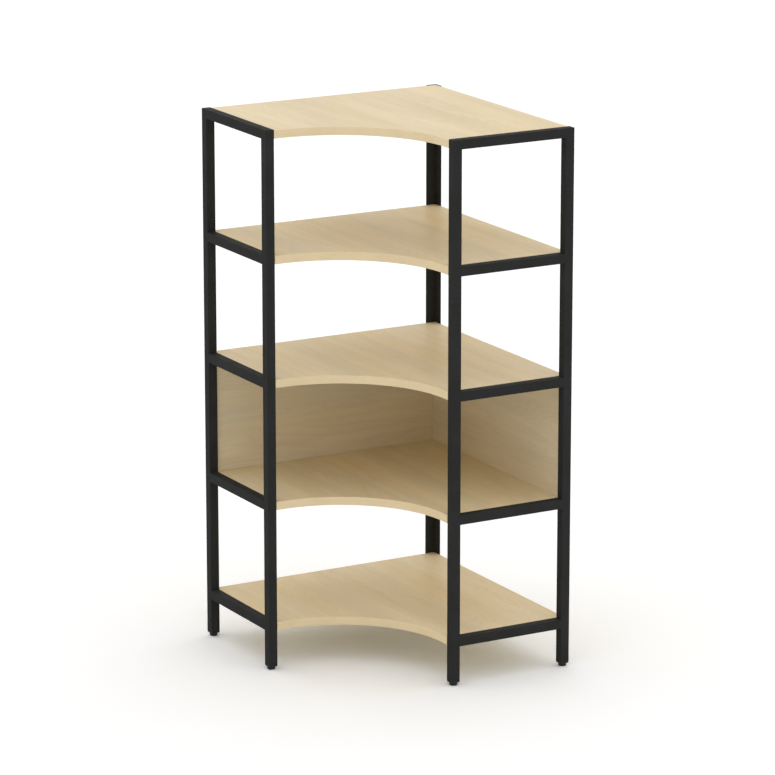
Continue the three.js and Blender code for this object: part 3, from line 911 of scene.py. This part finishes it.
def frame_welds(name, order):
    """All beads of one side frame. They are worked out as (across, along, height), as its tubes are."""
    boxes = frame_boxes(name, order)
    front, back = boxes["front_post"], boxes["back_post"]
    faces = front[0][0], front[1][0]
    tube = faces[1] - faces[0]
    joints = front[1][1], back[0][1]
    round_beads = []
    for level in range(1, LEVELS):
        top = boxes[f"rail_{level}"][1][2]
        round_beads += [rail_bead(faces, joint, (top - tube, top)) for joint in joints]
    top = boxes[f"rail_{LEVELS}"][1][2]
    under = top - tube
    straight_beads = []
    for joint, outer in zip(joints, (front[0][1], back[1][1])):
        ends = ([face, joint, under] for face in (faces[0] + UNDER_FACE, faces[1] - UNDER_FACE))
        straight_beads.append(straight_bead(*ends, INNER_BEAD))
        for across in (faces[0] + MITRE_BEAD, faces[1] - MITRE_BEAD):
            tip = [across, outer + MITRE_BEAD * np.sign(joint - outer), top - MITRE_BEAD]
            straight_beads.append(straight_bead(tip, [across, joint, under], MITRE_BEAD * MITRE_OVERLAP))
    ground = []
    for shells in (np.array(round_beads), np.array(straight_beads)):
        shells[..., 0] = np.clip(shells[..., 0], faces[0] + GROUND_BELOW, faces[1] - GROUND_BELOW)
        ground.append(shells[..., order] * MM)
    skin(f"{name}_frame_rail_welds", ground[0], FRAME_COAT, joined=True)
    skin(f"{name}_frame_corner_welds", ground[1], FRAME_COAT)
    return len(round_beads) + len(straight_beads)


bead_count = sum(frame_welds(name, order) for name, order in FRAME_ORDER.items())
print("made:", bead_count, "beads on the side frames")

# %% [markdown]
# ## Welds in the corner post
#
# The plates that carry the boards' back corners are welded into the angle from below, along the two lines
# where they meet its legs. Nobody sees these beads from the front, so they are short and left as they were
# laid.

# %% Beads under the plates
CORNER_BEAD = 1.4
ANGLE_LEG = 34
ANGLE_WALL = 2
PLATE_UNDER_BOARD = 0.1
# How many of their own radii the beads stop short of the tips of the legs, and of the fold.
SHORT_OF_TIP = 2
SHORT_OF_FOLD = 3


def plate_beads(height):
    """Two beads along the lines where a plate's underside, at this height, meets the angle's inner faces."""
    wall = cad_high[0] / MM - ANGLE_WALL
    tip = cad_high[0] / MM - ANGLE_LEG + SHORT_OF_TIP * CORNER_BEAD
    far = wall - SHORT_OF_FOLD * CORNER_BEAD
    return [
        straight_bead([tip, wall, height], [far, wall, height], CORNER_BEAD),
        straight_bead([wall, tip, height], [wall, far, height], CORNER_BEAD),
    ]


plated = [level for level in range(1, LEVELS + 1) if f"shelf_{level}_screw_corner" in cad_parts]
undersides = [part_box(f"shelf_{level}")[0].z / MM - PLATE_UNDER_BOARD - SHEET for level in plated]
beads = [bead for underside in undersides for bead in plate_beads(underside)]
skin("corner_post_welds", np.array(beads) * MM, FRAME_COAT)
print("made:", len(beads), "beads in the corner post")

# %% [markdown]
# ## Floor and light
#
# The unit is shown on pure white, with only a soft shadow. A large tent of white cloth does that in a studio,
# and here the world's colour stands for the cloth. Such a tent is lit from above, so it glows more overhead
# than near the floor: that is why the tops of the boards are lighter than the panels. Its average over an
# open floor is 1, at which a colour renders about as it is written. Lamps would give the same shading only
# with many of them, and with more noise.
#
# The photograph is exposed so that the open floor burns out to white. The floor's colour does that here, for
# rays from the camera and from reflections alone, so the unit gets no more light for it. The tent too is
# plain white to them. The white paint that the unit itself is lit by leans to blue by a trace. Without that,
# the light that falls back from the wood's underside turns the shadow brown.

# %% White floor
# In metres, and so large that no view reaches the floor's edge.
FLOOR_REACH = 60
FLOOR_COLOUR = "#EFF5FA"
BURNT_OUT = 1.09


def seen_directly(tree):
    """One for rays from the camera and for those that a reflection or glass passes on, and zero for the
    rest."""
    path = node(tree, "LightPath").node.outputs
    seen = path["Is Camera Ray"]
    for ray in ("Is Glossy Ray", "Is Transmission Ray"):
        seen = node(tree, "Math", {0: seen, 1: path[ray]}, operation="MAXIMUM")
    return seen


def studio_floor():
    mesh = bpy.data.meshes.new("floor")
    corners = np.array([[-1, -1, 0], [1, -1, 0], [1, 1, 0], [-1, 1, 0]]) * FLOOR_REACH
    mesh.from_pydata(corners.tolist(), [], [[0, 1, 2, 3]])
    material = bpy.data.materials.new("white studio floor")
    tree = empty_tree(material)
    white = (BURNT_OUT, BURNT_OUT, BURNT_OUT, 1.0)
    colour = node(tree, "Mix", {0: seen_directly(tree), 6: linear(FLOOR_COLOUR), 7: white}, **MIX_COLOURS)
    node(tree, "OutputMaterial", {"Surface": node(tree, "BsdfDiffuse", {"Color": colour})})
    mesh.materials.append(material)
    floor = bpy.data.objects.new("floor", mesh)
    bpy.context.scene.collection.objects.link(floor)
    return floor


floor = studio_floor()
print("the floor is", 2 * FLOOR_REACH, "m wide")

# %% White tent
TENT_FALL = 0.8
TENT_AT_FLOOR = 1 - TENT_FALL * 2 / 3
TENT_OVERHEAD = 1 + TENT_FALL / 3


def white_tent():
    """A glow that rises in line with the ray's upward part, from 1 less two thirds of the fall at the floor
    to 1 and a third of it overhead. The weight of the cosine makes the average over a level surface 1."""
    world = bpy.data.worlds.new("white tent")
    tree = empty_tree(world)
    direction = node(tree, "TexCoord", out="Generated")
    up = node(tree, "SeparateXYZ", {"Vector": direction}, "Z")
    glow = node(tree, "MapRange", {"Value": up, "To Min": TENT_AT_FLOOR, "To Max": TENT_OVERHEAD})
    strength = node(tree, "Mix", {0: seen_directly(tree), 2: glow, 3: 1.0})
    cloth = node(tree, "Background", {"Color": linear("#FFFFFF"), "Strength": strength})
    node(tree, "OutputWorld", {"Surface": cloth})
    return world


bpy.context.scene.world = white_tent()
bpy.context.scene.view_settings.view_transform = "Standard"
print("the tent glows", round(TENT_AT_FLOOR, 2), "at the floor and", round(TENT_OVERHEAD, 2), "overhead")

# %% [markdown]
# ## Camera
#
# The unit was photographed with a long lens from almost four metres up, turned so that both wings show. The
# place, the turn and the lens were found by matching the edges of posts, rails and boards. The original keeps
# its uprights parallel with a large lens shift. That shift would push the unit out of every other view, so
# the camera here tilts down instead, and the uprights converge by a few pixels.

# %% The long lens
# In metres, as Blender takes it. The lens and the sensor are in millimetres.
CAMERA_PLACE = (-5.966, -10.606, 3.951)
CAMERA_TURN = math.radians(29.38)
CAMERA_TILT = math.radians(14.44)
LENS = 196.6
SENSOR = 36

lens = bpy.data.cameras.new("long lens")
lens.lens, lens.sensor_width = LENS, SENSOR
camera = bpy.data.objects.new("camera", lens)
camera.location = CAMERA_PLACE
camera.rotation_euler = (QUARTER - CAMERA_TILT, 0, -CAMERA_TURN)
bpy.context.scene.collection.objects.link(camera)
bpy.context.scene.camera = camera
print("camera at", CAMERA_PLACE, "with a", LENS, "mm lens")
